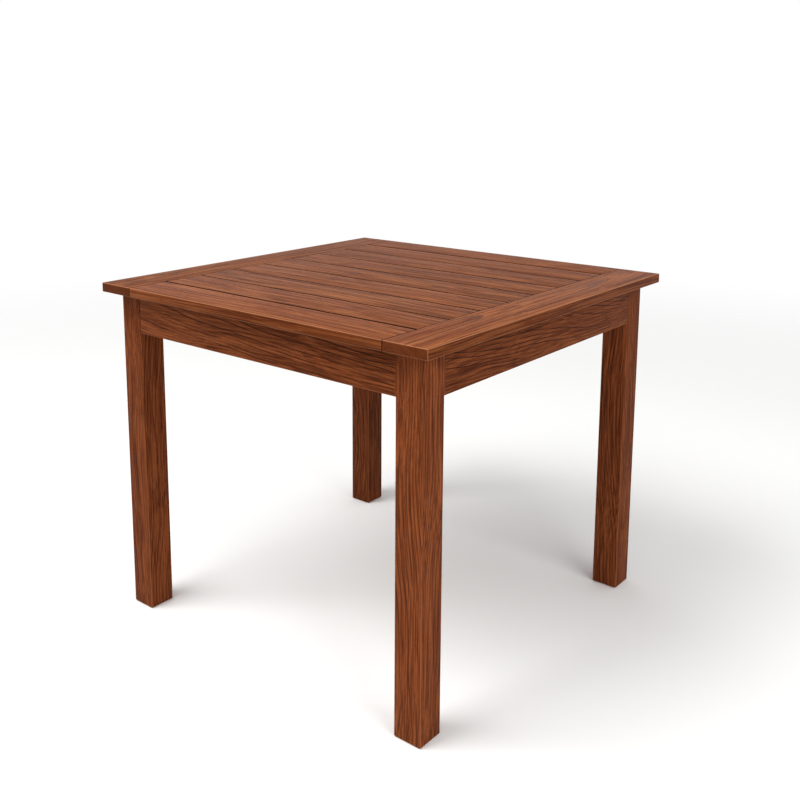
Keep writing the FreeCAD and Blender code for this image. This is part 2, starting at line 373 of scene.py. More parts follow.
def button_plans():
    """From a button's own plan, with y inwards from its apron's outer face, to its eight places."""
    plans = []
    for quarters in range(4):
        for side in (-1, 1):
            own_place = Matrix.Translation((side * button_spacing / 2, -leg_reach, 0))
            plans.append(quarter_turn(quarters) @ own_place)
    return plans


def button_screw_place():
    """Where a button's screw lies in the button's own plan."""
    return aimed((0, apron_thickness + button_stand_off + button_body / 2, button_bottom), (0, 0, 1))


def brace_screw_places():
    """Where a brace's four screws lie in its corner's plan."""
    along = brace_outer_sum - brace_edge + brace_screw_inset
    seat = brace_edge + brace_screw_wood
    places = []
    for height in (brace_middle - brace_screw_spacing / 2, brace_middle + brace_screw_spacing / 2):
        places.append(aimed((along, seat, height), (0, -1, 0)))
        places.append(aimed((seat, along, height), (-1, 0, 0)))
    return places


batten_screw_length = frame_top - batten_bottom + top_thickness * screw_bite_share
button_screw_length = button_thickness + top_thickness * screw_bite_share
brace_screw_length = brace_screw_wood + brace_edge * screw_bite_share


def bolt_plans(plan_sum):
    """Where a piece made along +Z lies on each corner's diagonal, if its plan's x + y starts at a sum."""
    inwards = aimed((plan_sum / 2, plan_sum / 2, brace_middle), (-1, -1, 0))
    return [corner_plan(*signs) @ inwards for signs in corners.values()]


def screw_sets():
    """Every set of screws in the table: its name, how long its screws are, and where they lie."""
    in_battens = [place for batten in battens for place in batten_screw_places(batten)]
    in_buttons = [plan @ button_screw_place() for plan in button_plans()]
    in_braces = [corner_plan(*signs) @ place for signs in corners.values() for place in brace_screw_places()]
    return [("batten_screws", batten_screw_length, in_battens),
            ("button_screws", button_screw_length, in_buttons),
            ("brace_screws", brace_screw_length, in_braces)]


def drilled(shape, low, high, middle=(0, 0, 0)):
    """Drill a piece for the screws and bolts that end in its box. A middle tells where its origin lies."""
    holes = bmesh.new()
    to_own = Matrix.Translation(middle).inverted()

    def drill(place, tip, diameter, start, end):
        """Drill one hole, if the screw or bolt in it has its tip in the piece's box."""
        point = place @ Vector((0, 0, tip))
        if all(low[axis] < point[axis] < high[axis] for axis in range(3)):
            add_copies(holes, rod(diameter / 2 + hole_fit, start, end), [to_own @ place])

    for _, length, places in screw_sets():
        for place in places:
            drill(place, -length, screw_diameter, -length - hole_fit, 0)
    for place in bolt_plans(flat_sum - bolt_grip * root2):
        drill(place, 0, bolt_diameter, -hole_fit, bolt_grip + overrun)
    return carve(shape, holes)


# Grain: each piece of wood keeps, at every point, its place in the log that it was sawn from

def note_grain(shape, way, pith, start):
    """Write the point along the log, and across it in two directions from its middle."""
    layer = shape.verts.layers.float_vector.new("grain")
    across = [axis for axis in range(3) if axis != way]
    for vert in shape.verts:
        place = vert.co
        vert[layer] = (place[way] + start, place[across[0]] - pith[0], place[across[1]] - pith[1])


def note_wear_and_highlight(shape, low, high, reach):
    """Write 1 on the rounded arrises of a block and 0 on its flats; the arrises are painted pale, partly as
    wear and partly as a painted highlight.
    """
    layer = shape.verts.layers.float.new("wear_and_highlight")
    for vert in shape.verts:
        gaps = [min(abs(vert.co[axis] - low[axis]), abs(vert.co[axis] - high[axis])) for axis in range(3)]
        on_arris = min(gaps) > reach * flat_share and sorted(gaps)[1] < reach
        vert[layer] = 1.0 if on_arris else 0.0


def note_tone_and_painted_shade(shape, light, warmth, top, side_painted_shade):
    """Write how light and how warm this board is, with painted shade making its sides darker below its top.
    """
    layer = shape.verts.layers.float_vector.new("tone_and_painted_shade")
    for vert in shape.verts:
        # Painted shade: the sides below the top's face are painted darker and warmer
        below = min((top - vert.co.z) / board_arris, 1.0)
        vert[layer] = (light - side_painted_shade * below, warmth + side_shade_warmth_share * side_painted_shade * below, 0)


def note_painted_gap_shade(shape, walls, ends):
    """Write 1 on a board's walls in the gaps beside it and on its ends in the joints, where painted shade
    goes.
    """
    layer = shape.verts.layers.float.new("painted_gap_shade")
    for vert in shape.verts:
        in_gap = any(abs(vert.co.y - wall) < painted_gap_shade_reach for wall in walls)
        in_joint = any(abs(vert.co.x - end) < painted_gap_shade_reach for end in ends)
        vert[layer] = 1.0 if in_gap or in_joint else 0.0


def note_end_grain(shape, way):
    """Write 1 on the faces that a saw has cut across the grain."""
    layer = shape.loops.layers.float.new("end_grain")
    shape.normal_update()
    for face in shape.faces:
        sawn = 1.0 if runs_along(face.normal, way) else 0.0
        for corner in face.loops:
            corner[layer] = sawn


def finish_piece(name, shape, material):
    """Make the piece, with its flats flat and its rounded edges smooth."""
    face_outwards(shape)
    for face in shape.faces:
        face.smooth = True
    for edge in shape.edges:
        edge.smooth = len(edge.link_faces) == 2 and edge.calc_face_angle() < smooth_angle
    piece = as_object("finished_" + name, shape)
    piece.data.materials.append(material)
    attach(piece, "root")
    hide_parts(name)


def finish_wood(name, shape, material, way, cut, box, reach, side_painted_shade=0.0):
    """Write its grain, sawn ends, wear with a painted highlight, and light, warmth and painted side shade on
    a piece of wood, and make it.
    """
    start, offset, light, warmth = cut
    low, high = box
    middle = (low + high) / 2
    across = [axis for axis in range(3) if axis != way]
    pith = (middle[across[0]] + offset[0], middle[across[1]] + offset[1])
    note_grain(shape, way, pith, start)
    note_end_grain(shape, way)
    note_wear_and_highlight(shape, low, high, reach)
    note_tone_and_painted_shade(shape, light, warmth, high.z, side_painted_shade)
    finish_piece(name, shape, material)


# The top

def end_flat(shape, place):
    """The largest face at one end of a board."""
    at_end = [face for face in shape.faces if abs(face.calc_center_median().x - place) < merge_distance]
    return max(at_end, key=lambda face: face.calc_area())


def draw_tenon(shape, side, half, tenon):
    """Inset the flat at a board's end to the size of its stub tenon, and extrude it."""
    flat = end_flat(shape, side * half.x)
    bmesh.ops.inset_individual(shape, faces=[flat], thickness=gap_arris)
    root = list(flat.verts)
    for vert in root:
        vert.co.y = math.copysign(half.y - tenon_shoulder, vert.co.y)
        vert.co.z = math.copysign(tenon_thickness / 2, vert.co.z)
    bmesh.ops.remove_doubles(shape, verts=root, dist=merge_distance)
    root = [vert for vert in root if vert.is_valid]
    inner = [face for face in shape.faces if all(vert in root for vert in face.verts)]
    tip = bmesh.ops.extrude_discrete_faces(shape, faces=inner)["faces"][0]
    bmesh.ops.translate(shape, vec=(side * tenon, 0, 0), verts=tip.verts)


def long_board_shape(half, tenon, walls):
    """A board about the origin, eased less along its gap walls, with a stub tenon on each end."""
    shape = block(-half, half)
    long_edges = edges_along(shape, 0)
    in_gap = [edge for edge in long_edges if any(abs(edge.verts[0].co.y - wall) < wood_fit for wall in walls)]
    outer = [edge for edge in long_edges if edge not in in_gap]
    round_over(shape, in_gap, gap_arris)
    round_over(shape, outer, board_arris)
    ends = edges_where(shape, lambda mid, way: not runs_along(way, 0) and abs(abs(mid.x) - half.x) < wood_fit)
    round_over(shape, ends, gap_arris)
    bmesh.ops.remove_doubles(shape, verts=shape.verts, dist=merge_distance)
    for side in (-1, 1):
        draw_tenon(shape, side, half, tenon)
    return shape


def make_long_board(name, cut, material):
    low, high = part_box(name)
    middle = (low + high) / 2
    tenon = high.x - inner_right
    half = Vector((inner_right, round((high.y - low.y) / 2, micrometre_digits), (high.z - low.z) / 2))
    walls = []
    if name != "front_edge_board":
        walls.append(-half.y)
    if name != "back_edge_board":
        walls.append(half.y)
    shape = drilled(long_board_shape(half, tenon, walls), low, high, middle)
    bmesh.ops.translate(shape, vec=middle, verts=shape.verts)
    low.x, high.x = inner_left, inner_right
    # Painted shade on the walls in the gaps beside the board and on its ends in the joints
    note_painted_gap_shade(shape, [middle.y + wall for wall in walls], (low.x, high.x))
    finish_wood(name, shape, material, 0, cut, (low, high), board_arris, top_side_painted_shade)


def mortises(inner_face, depth):
    """The mortises for every long board's tenon, in one end board's inner face."""
    cutter = bmesh.new()
    half = tenon_thickness / 2 + wood_fit
    ends = sorted((inner_face - math.copysign(overrun, depth), inner_face + depth))
    for name in long_boards:
        low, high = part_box(name)
        middle = (low.z + high.z) / 2
        add_block(cutter, (ends[0], low.y + tenon_shoulder - wood_fit, middle - half),
                  (ends[1], high.y - tenon_shoulder + wood_fit, middle + half))
    return cutter


def make_end_board(name, cut, material):
    low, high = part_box(name)
    shape = block(low, high)
    round_over(shape, shape.edges[:], board_arris)
    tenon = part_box("front_edge_board")[1].x - inner_right + wood_fit
    face, depth = (inner_left, -tenon) if name == "end_board_left" else (inner_right, tenon)
    shape = carve(shape, mortises(face, depth))
    shape = drilled(shape, low, high)
    # Painted shade on the end board's inner face, in the joints with the long boards
    note_painted_gap_shade(shape, [], [face])
    finish_wood(name, shape, material, 1, cut, (low, high), board_arris, top_side_painted_shade)


# The legs

def make_leg(corner, cut, material):
    name = "leg_" + corner
    low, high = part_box(name)
    shape = block(low, high)
    round_over(shape, edges_along(shape, 2), leg_arris)
    foot = edges_where(shape, lambda mid, way: mid.z < low.z + leg_arris and not runs_along(way, 2))
    round_over(shape, foot, foot_arris)
    cutter = bmesh.new()
    diagonal_block(cutter, flat_sum, 2 * leg_side + 2 * overrun, leg_side, apron_bottom, high.z + overrun,
                   corner_plan(*corners[corner]))
    glide_low, glide_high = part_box("foot_glide_" + corner)
    centre, radius = (glide_low + glide_high) / 2, (glide_high.x - glide_low.x) / 2
    bmesh.ops.create_cone(cutter, cap_ends=True, segments=glide_recess_steps, radius1=radius, radius2=radius,
                          depth=2 * glide_high.z, matrix=Matrix.Translation((centre.x, centre.y, 0)))
    shape = drilled(carve(shape, cutter), low, high)
    finish_wood(name, shape, material, 2, cut, (low, high), leg_arris)


# The aprons

def brace_housing_shape(cutter, side):
    """Add the housing that one brace's end takes in an apron, at its left or right end."""
    plan = Matrix.Translation((side * leg_reach, -leg_reach, 0)) @ Matrix.Diagonal((-side, 1, 1, 1))
    strip = bmesh.new()
    diagonal_block(strip, brace_outer_sum - wood_fit * root2, brace_inner_sum + wood_fit * root2,
                   leg_reach / 2, brace_bottom - wood_fit, frame_top + overrun, plan)
    face = Vector((0, brace_edge - wood_fit - leg_reach, 0))
    cut_off(strip, face, (0, -1, 0))
    cut_off(strip, face + Vector((0, apron_thickness, 0)), (0, 1, 0))
    add_copies(cutter, strip, [Matrix.Identity(4)])


def apron_cutter(with_battens):
    """Everything that is cut from an apron's inner face: housings, button slots, batten ends."""
    cutter = bmesh.new()
    inner = apron_thickness - leg_reach
    for side in (-1, 1):
        brace_housing_shape(cutter, side)
        middle = side * button_spacing / 2
        low = (middle - button_slot_width / 2, inner - button_tongue - wood_fit, button_bottom - wood_fit)
        high = (middle + button_slot_width / 2, inner + overrun,
                button_bottom + button_tongue_thickness + wood_fit)
        add_block(cutter, low, high)
    if with_battens:
        for name in battens:
            low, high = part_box(name)
            add_block(cutter, (low.x - wood_fit, low.y - wood_fit, low.z - wood_fit),
                      (high.x + wood_fit, inner + overrun, frame_top + overrun))
    return cutter


def make_apron(name, quarters, cut, material):
    """An apron, made as the front one is and turned to its own place."""
    half_run = leg_reach - leg_side
    low = Vector((-half_run, -leg_reach, apron_bottom))
    high = Vector((half_run, apron_thickness - leg_reach, frame_top))
    shape = block(low, high)
    lower = edges_where(shape, lambda mid, way: mid.z < apron_bottom + apron_arris and runs_along(way, 0))
    ends = edges_where(shape, lambda mid, way: mid.y < low.y + apron_arris and runs_along(way, 2))
    round_over(shape, lower + ends, apron_arris)
    way = quarters % 2
    shape = carve(shape, apron_cutter(with_battens=way == 0))
    bmesh.ops.transform(shape, matrix=quarter_turn(quarters), verts=shape.verts)
    low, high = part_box(name)
    shape = drilled(shape, low, high)
    finish_wood(name, shape, material, way, cut, (low, high), apron_arris)


# Metal pieces and glides

def make_screws(steel):
    for name, length, places in screw_sets():
        finish_piece(name, repeated(screw_shape(length), places), steel)


def make_bolts(steel):
    """Hanger bolts: a wood thread in the leg and a machine thread through the brace."""
    radius = bolt_diameter / 2
    length = bolt_grip + brace_draw_gap + brace_thickness + washer_thickness + nut_height + bolt_tail
    wood_end = bolt_grip - bolt_end_chamfer
    machine_start = bolt_grip + brace_draw_gap
    wood_root, machine_root = radius * bolt_wood_root_share, radius * bolt_thread_root_share
    profile = [(0, 0)]
    profile += thread(radius, wood_root, bolt_wood_pitch / 2, wood_end, bolt_wood_pitch)
    profile += [(radius, bolt_grip), (radius, machine_start)]
    profile += thread(radius, machine_root, machine_start, length - bolt_end_chamfer, bolt_thread_pitch)
    profile += [(radius - bolt_end_chamfer, length), (0, length)]
    shape = repeated(turned(profile), bolt_plans(flat_sum - bolt_grip * root2))
    finish_piece("hanger_bolts", shape, steel)


def make_washers(steel):
    """Washers with their outer edges rounded by the punch."""
    outer, bore = washer_diameter / 2, bolt_diameter / 2 + hole_fit
    top = washer_thickness
    profile = [(bore, 0), (outer - washer_ease, 0), (outer, washer_ease), (outer, top - washer_ease),
               (outer - washer_ease, top), (bore + washer_ease, top), (bore, top - washer_ease)]
    shape = repeated(turned(profile, closed=True), bolt_plans(brace_inner_sum))
    finish_piece("bolt_washers", shape, steel)


def make_nuts(steel):
    """Hexagon nuts, chamfered all round, with a countersunk bore."""
    corner = nut_across_flats / root3
    nut = bmesh.new()
    bmesh.ops.create_cone(nut, cap_ends=True, segments=6, radius1=corner, radius2=corner, depth=nut_height,
                          matrix=Matrix.Translation((0, 0, nut_height / 2)))
    round_over(nut, edges_where(nut, lambda mid, way: not runs_along(way, 2)), nut_chamfer, 1)
    bore = bolt_diameter / 2 + hole_fit
    mouth = bore + nut_flare
    cutter = turned([(0, -overrun), (mouth, -overrun), (mouth, 0), (bore, nut_flare),
                     (bore, nut_height - nut_flare), (mouth, nut_height), (mouth, nut_height + overrun),
                     (0, nut_height + overrun)])
    shape = repeated(carve(nut, cutter), bolt_plans(brace_inner_sum + washer_thickness * root2))
    finish_piece("bolt_nuts", shape, steel)


def make_glide(corner, nylon):
    """A nylon disc with a rounded rim, standing a little proud of the foot."""
    name = "foot_glide_" + corner
    low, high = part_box(name)
    radius = (high.x - low.x) / 2
    profile = [(0, 0)]
    for step in range(round_steps + 1):
        angle = math.radians(90 * step / round_steps)
        profile.append((radius - glide_rim * (1 - math.sin(angle)), glide_rim * (1 - math.cos(angle))))
    profile += [(radius, high.z), (0, high.z)]
    middle = (low + high) / 2
    shape = repeated(turned(profile), [Matrix.Translation((middle.x, middle.y, 0))])
    finish_piece(name, shape, nylon)


# Battens, buttons and braces

def make_batten(name, cut, material):
    low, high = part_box(name)
    shape = block(low, high)
    round_over(shape, edges_along(shape, 1), hidden_arris)
    shape = carve(shape, screw_holes(batten_screw_places(name), batten_screw_length, overrun))
    finish_wood(name, shape, material, 1, cut, (low, high), hidden_arris)


def button_shape():
    """One button in its own plan: a body, and a tongue that reaches into the apron's slot."""
    half = button_width / 2
    body_start = apron_thickness + button_stand_off
    low = Vector((-half, body_start, button_bottom))
    high = Vector((half, body_start + button_body, frame_top))
    shape = block(low, high)
    tongue_top = button_bottom + button_tongue_thickness
    bmesh.ops.bisect_plane(shape, geom=shape.verts[:] + shape.edges[:] + shape.faces[:],
                           plane_co=(0, 0, tongue_top), plane_no=(0, 0, 1))
    facing = [face for face in shape.faces if abs(face.calc_center_median().y - low.y) < wood_fit]
    root = min(facing, key=lambda face: face.calc_center_median().z)
    tip = bmesh.ops.extrude_discrete_faces(shape, faces=[root])["faces"][0]
    bmesh.ops.translate(shape, vec=(0, -button_tongue - button_stand_off, 0), verts=tip.verts)
    toe = edges_where(shape, lambda mid, way: runs_along(way, 0) and mid.y > high.y - wood_fit
                      and mid.z < low.z + wood_fit)
    round_over(shape, toe, button_chamfer, 1)
    return carve(shape, screw_holes([button_screw_place()], button_screw_length, overrun))


def make_buttons(material):
    """Eight buttons, with the grain of each running from its tongue to its toe."""
    shape = button_shape()
    note_grain(shape, 1, (button_pith[0], button_bottom + button_pith[1]), 0.0)
    note_end_grain(shape, 1)
    finish_piece("top_buttons", repeated(shape, button_plans()), material)


def make_brace(corner, cut, material):
    """A diagonal block, mitred to sit in both aprons, made with its length along X."""
    name = "corner_brace_" + corner
    start, offset, light, warmth = cut
    own_plan = Matrix.Translation((brace_outer_sum / 2, brace_outer_sum / 2, 0))
    own_plan @= Matrix.Rotation(math.radians(-45), 4, "Z")
    to_own = own_plan.inverted()
    low = Vector((-leg_reach / 2, 0, brace_bottom))
    high = Vector((leg_reach / 2, brace_thickness, frame_top))
    shape = block(low, high)
    for outward in (Vector((-1, 0, 0)), Vector((0, -1, 0))):
        cut_off(shape, to_own @ (-outward * brace_edge), to_own.to_3x3() @ outward)
    round_over(shape, edges_along(shape, 0), hidden_arris)
    screw_places = [to_own @ place for place in brace_screw_places()]
    holes = screw_holes(screw_places, brace_screw_length, brace_thickness)
    bolt_hole = rod(bolt_diameter / 2 + hole_fit, -overrun, brace_thickness + overrun)
    add_copies(holes, bolt_hole, [aimed((0, 0, brace_middle), (0, -1, 0))])
    shape = carve(shape, holes)
    note_grain(shape, 0, (offset[0], brace_middle + offset[1]), start)
    note_wear_and_highlight(shape, low, high, hidden_arris)
    note_tone_and_painted_shade(shape, light, warmth, frame_top, 0.0)
    bmesh.ops.transform(shape, matrix=corner_plan(*corners[corner]) @ own_plan, verts=shape.verts)
    finish_piece(name, shape, material)


# Shader sockets, with sums written as Python expressions

class Socket:
    """An output of a shader node."""

    def __init__(self, tree, output=None):
        self.tree = tree
        self.output = output

    def node(self, kind, settings=None, sockets=None, output=0):
        """Add any node: its settings are set first, then the values or links of its sockets."""
        made = self.tree.nodes.new(kind)
        for name, value in (settings or {}).items():
            setattr(made, name, value)
        for name, value in (sockets or {}).items():
            if isinstance(value, Socket):
                self.tree.links.new(value.output, made.inputs[name])
            else:
                made.inputs[name].default_value = value
        return Socket(self.tree, made.outputs[output] if made.outputs else None)

    def sum(self, operation, first, second=0.0):
        """Any Math node."""
        return self.node("ShaderNodeMath", {"operation": operation}, {0: first, 1: second})

    def __add__(self, other):
        return self.sum("ADD", self, other)

    def __radd__(self, other):
        return self.sum("ADD", other, self)

    def __sub__(self, other):
        return self.sum("SUBTRACT", self, other)

    def __rsub__(self, other):
        return self.sum("SUBTRACT", other, self)

    def __mul__(self, other):
        return self.sum("MULTIPLY", self, other)

    def __rmul__(self, other):
        return self.sum("MULTIPLY", other, self)


def paint(red, green, blue):
    """A colour as it shows on a screen, from 0 to 255, as the shader wants it."""
    shares = [value / 255 for value in (red, green, blue)]
    linear = [share / 12.92 if share <= 0.04045 else ((share + 0.055) / 1.055) ** 2.4 for share in shares]
    return (*linear, 1.0)


def new_material(name):
    """A material with an empty shader tree, and a socket to start its nodes from."""
    material = bpy.data.materials.new(name)
    material.use_nodes = True
    material.node_tree.nodes.clear()
    return material, Socket(material.node_tree)


def attribute(start, name, output="Fac"):
    """What a piece's own mesh says at each point."""
    return start.node("ShaderNodeAttribute", {"attribute_name": name}, output=output)


def vector_sum(operation, first, second):
    return first.node("ShaderNodeVectorMath", {"operation": operation}, {0: first, 1: second})


def scaled(vector, factor):
    """A place or a colour times one number."""
    return vector.node("ShaderNodeVectorMath", {"operation": "SCALE"}, {0: vector, 3: factor})


def length_of(vector):
    return vector.node("ShaderNodeVectorMath", {"operation": "LENGTH"}, {0: vector}, 1)


def part_of(vector, axis):
    return vector.node("ShaderNodeSeparateXYZ", None, {0: vector}, axis)


def blend(share, first, second):
    """Mix two colours."""
    return share.node("ShaderNodeMix", {"data_type": "RGBA"}, {0: share, 6: first, 7: second}, 2)


def step_between(value, low, high):
    """0 on the side of low, 1 on the side of high, and smooth between."""
    sockets = {"Value": value, "From Min": low, "From Max": high}
    return value.node("ShaderNodeMapRange", {"interpolation_type": "SMOOTHSTEP"}, sockets)


cloud_roughness = 0.6


def cloud(place, detail, output=0):
    """Noise about 1 unit across in the place it is given."""
    sockets = {"Vector": place, "Scale": 1.0, "Detail": detail, "Roughness": cloud_roughness}
    return place.node("ShaderNodeTexNoise", None, sockets, output)


def stretched(place, along, across):
    """A place scaled along the grain and across it, so that noise on it runs with the grain."""
    return vector_sum("MULTIPLY", place, (along, across, across))


def drifted(place, along, across, reach):
    """A place pushed sideways across the grain by slow noise, so that the grain wanders."""
    drift = cloud(stretched(place, along, across), detail=1.0, output=1)
    drift = vector_sum("SUBTRACT", drift, (0.5, 0.5, 0.5))
    drift = vector_sum("MULTIPLY", drift, (0.0, reach, reach))
    return vector_sum("ADD", place, drift)


def surface(material, colour, roughness, height, depth, constants):
    """Bump and shader, with constants on the shader's own sockets."""
    bump = colour.node("ShaderNodeBump", None, {"Distance": depth, "Height": height})
    sockets = {"Base Color": colour, "Roughness": roughness, "Normal": bump, **constants}
    shader = colour.node("ShaderNodeBsdfPrincipled", None, sockets)
    shader.node("ShaderNodeOutputMaterial", None, {"Surface": shader})
    return material


# What every wood shares. Of two steps, a mark starts at the first and is full at the second. Of two turns,
# noise turns pale below the first and dark above the second.
ripple_reach = 0.003
vigour_along, vigour_per_ring = 4.0, 5.7
vigour_steps = (0.36, 0.62)
late_full, late_end = 0.88, 0.95
weak_ring_share = 0.15
early_steps = (0.30, 0.05)
pale_full, dark_full = 0.38, 0.62
broad_turns = (0.49, 0.51)
streak_turns = (0.49, 0.50)
fine_turns = (0.48, 0.52)
fibre_along, fibre_across = 60.0, 1500.0
pore_steps = (0.55, 0.66)
broad_along = 2.0
patch_along, patch_across = 2.5, 16.0
patch_steps = (0.38, 0.62)
end_grain_calm = 0.8
end_grain_dark = 0.3
# The arrises are painted pale: partly wear, partly a painted highlight
worn_highlight_share, worn_highlight_streak_share = 0.65, 0.3
# Painted shade in the gaps and joints: where it starts and is full, and its near-black colour
painted_gap_shade_steps = (0.0, 0.6)
painted_gap_shade_colour = paint(14, 3, 1)
pore_rough, late_smooth, streak_rough = 0.16, 0.10, 0.08
mean_height, streak_rise, pore_drop, late_drop = 0.5, 0.25, 0.5, 0.35
wood_relief = 0.0003


def wood(name, look):
    """Oiled hardwood: rings about the log's middle, streaks and pores along it, worn arrises with a painted
    highlight, and painted shade in gaps, joints and on the top boards' sides.
    """
    material, start = new_material(name)
    place = attribute(start, "grain", "Vector")
    tone_and_painted_shade = attribute(start, "tone_and_painted_shade", "Vector")
    end_grain = attribute(start, "end_grain")

    # The year's rings, with pale early wood and dark late wood, stronger in some years than in others
    bent = drifted(place, look["bend_along"], look["bend_across"], look["wander"])
    bent = drifted(bent, look["ripple_along"], look["ripple_across"], ripple_reach)
    radius = length_of(vector_sum("MULTIPLY", bent, (0.0, 1.0, 1.0)))
    along = part_of(bent, 0)
    ring = (radius + along * look["taper"]) * (1 / look["ring_gap"])
    cycle = start.sum("FRACT", ring)
    year = {0: along * vigour_along, 1: (ring - cycle) * vigour_per_ring}
    vigour = step_between(cloud(start.node("ShaderNodeCombineXYZ", None, year), detail=1.0), *vigour_steps)
    late = step_between(cycle, look["late_from"], late_full) * step_between(cycle, 1.0, late_end)
    late = late * (weak_ring_share + (1 - weak_ring_share) * vigour)
    early = step_between(cycle, *early_steps) * vigour

    # Colour: patches, then broad, middling and fine streaks, then rings and pores
    broad = cloud(stretched(bent, broad_along, look["broad_across"]), detail=2.0)
    streak = cloud(stretched(bent, look["streak_along"], look["streak_across"]), detail=4.0)
    fine = cloud(stretched(bent, look["fine_along"], look["fine_across"]), detail=3.0)
    pore = step_between(cloud(stretched(bent, fibre_along, fibre_across), detail=3.0), *pore_steps)
    patch = step_between(cloud(stretched(place, patch_along, patch_across), detail=3.0), *patch_steps)
    calm = 1.0 - end_grain_calm * end_grain
    colour = blend(patch, look["pale"], look["middle"])
    for noise, (pale_from, dark_from), pale_share, dark_share in (
            (broad, broad_turns, look["pale_share"], look["broad_share"]),
            (streak, streak_turns, look["pale_share"], look["streak_share"]),
            (fine, fine_turns, look["fine_share"], look["fine_share"])):
        pale = step_between(noise, pale_from, pale_full) * calm
        dark = step_between(noise, dark_from, dark_full) * calm
        colour = blend(pale * pale_share, colour, look["light"])
        colour = blend(dark * dark_share, colour, look["dark"])
    colour = blend(early * look["early_share"], colour, look["light"])
    colour = blend(late * look["ring_share"], colour, look["dark"])
    colour = blend(pore * look["pore_share"], colour, look["deep"])

    # What the board's own mesh says: worn arrises with a painted highlight, sawn ends, painted shade on gap
    # walls and joint ends, warmth, and light with painted shade on the top boards' sides
    # Worn arrises, partly wear and partly a painted highlight
    worn_and_highlight = attribute(start, "wear_and_highlight") * (worn_highlight_share + worn_highlight_streak_share * streak)
    colour = blend(worn_and_highlight, colour, look["worn_and_highlight"])
    colour = blend(end_grain_dark * end_grain, colour, look["dark"])
    # Painted shade on the walls in the gaps and on the ends in the joints
    colour = blend(step_between(attribute(start, "painted_gap_shade"), *painted_gap_shade_steps), colour, painted_gap_shade_colour)
    # Warmth, then lightness, which holds the painted shade on the top boards' sides
    colour = blend(part_of(tone_and_painted_shade, 1), colour, look["warm"])
    colour = scaled(colour, 1.0 + part_of(tone_and_painted_shade, 0))

    roughness = look["roughness"] + pore_rough * pore - late_smooth * late + streak_rough * streak
    height = mean_height + streak_rise * streak - pore_drop * pore - late_drop * late
    return surface(material, colour, roughness, height, wood_relief, {"Specular IOR Level": look["sheen"]})


top_look = dict(
    bend_along=1.6, bend_across=4.0, wander=0.040,
    ripple_along=7.0, ripple_across=30.0,
    taper=0.010, ring_gap=0.0062, late_from=0.66,
    broad_across=60.0, streak_along=2.5, streak_across=140.0,
    fine_along=3.0, fine_across=300.0, fine_share=0.80,
    pale=paint(134, 70, 32), middle=paint(118, 58, 27), light=paint(172, 105, 62),
    dark=paint(66, 28, 13), deep=paint(52, 22, 11), warm=paint(160, 74, 28),
    worn_and_highlight=paint(198, 136, 96),
    pale_share=0.45, broad_share=0.10, ring_share=0.75, early_share=0.35,
    streak_share=0.60, pore_share=0.45, roughness=0.48, sheen=0.04,
)
frame_look = dict(
    fine_along=5.0, fine_across=420.0, fine_share=0.50,
    pore_share=0.35, roughness=0.52, sheen=0.03,
)
apron_look = dict(
    frame_look, bend_along=2.2, bend_across=4.0, wander=0.045,
    ripple_along=8.0, ripple_across=24.0,
    taper=-0.060, ring_gap=0.0050, late_from=0.62,
    broad_across=50.0, streak_along=4.0, streak_across=260.0,
    pale=paint(130, 67, 35), middle=paint(116, 58, 29), light=paint(158, 90, 52),
    dark=paint(47, 16, 5), deep=paint(44, 16, 7), warm=paint(126, 62, 32),
    worn_and_highlight=paint(158, 92, 58), pale_share=0.30, broad_share=0.05,
    ring_share=1.00, early_share=0.30, streak_share=0.45,
)
leg_look = dict(
    frame_look, bend_along=2.4, bend_across=5.0, wander=0.050,
    ripple_along=9.0, ripple_across=30.0,
    taper=0.035, ring_gap=0.0046, late_from=0.50,
    broad_across=60.0, streak_along=6.0, streak_across=300.0,
    pale=paint(134, 69, 36), middle=paint(118, 58, 29), light=paint(160, 89, 49),
    dark=paint(54, 20, 9), deep=paint(46, 17, 8), warm=paint(134, 68, 34),
    worn_and_highlight=paint(164, 96, 60), pale_share=0.45, broad_share=0.20,
    ring_share=0.75, early_share=0.35, streak_share=0.55,
)
inner_look = dict(leg_look, wander=0.006, roughness=0.6, sheen=0.35)


# Metal and nylon
zinc_grit_scale, zinc_bloom_scale = 900.0, 160.0
zinc_polish, zinc_dull = 0.26, 0.24
zinc_relief = 0.00005
nylon_grit_scale = 700.0
nylon_gloss = 0.4
nylon_smooth, nylon_scuffed = 0.42, 0.3
nylon_relief = 0.0001
scuff_height = 0.0006
scuff_steps = (0.4, 0.6)


def zinc_steel():
    """Bright zinc plate with a fine cloudy bloom."""
    material, start = new_material("zinc_plated_steel")
    place = start.node("ShaderNodeTexCoord", output="Object")
    grit = cloud(scaled(place, zinc_grit_scale), detail=3.0)
    bloom = cloud(scaled(place, zinc_bloom_scale), detail=3.0)
    colour = blend(bloom, paint(196, 198, 202), paint(158, 156, 148))
    return surface(material, colour, zinc_polish + zinc_dull * bloom, grit, zinc_relief, {"Metallic": 1.0})


def glide_nylon():
    """Black nylon, scuffed where it stands on the floor."""
    material, start = new_material("black_nylon")
    place = start.node("ShaderNodeTexCoord", output="Object")
    grit = cloud(scaled(place, nylon_grit_scale), detail=3.0)
    scuff = step_between(part_of(place, 2), scuff_height, 0.0) * step_between(grit, *scuff_steps)
    colour = blend(scuff, paint(34, 33, 32), paint(92, 88, 84))
    roughness = nylon_smooth + nylon_scuffed * scuff
    return surface(material, colour, roughness, grit, nylon_relief, {"Specular IOR Level": nylon_gloss})


# Painted shade: how much darker the sides of the top's boards are painted than their faces
top_side_painted_shade = 0.28

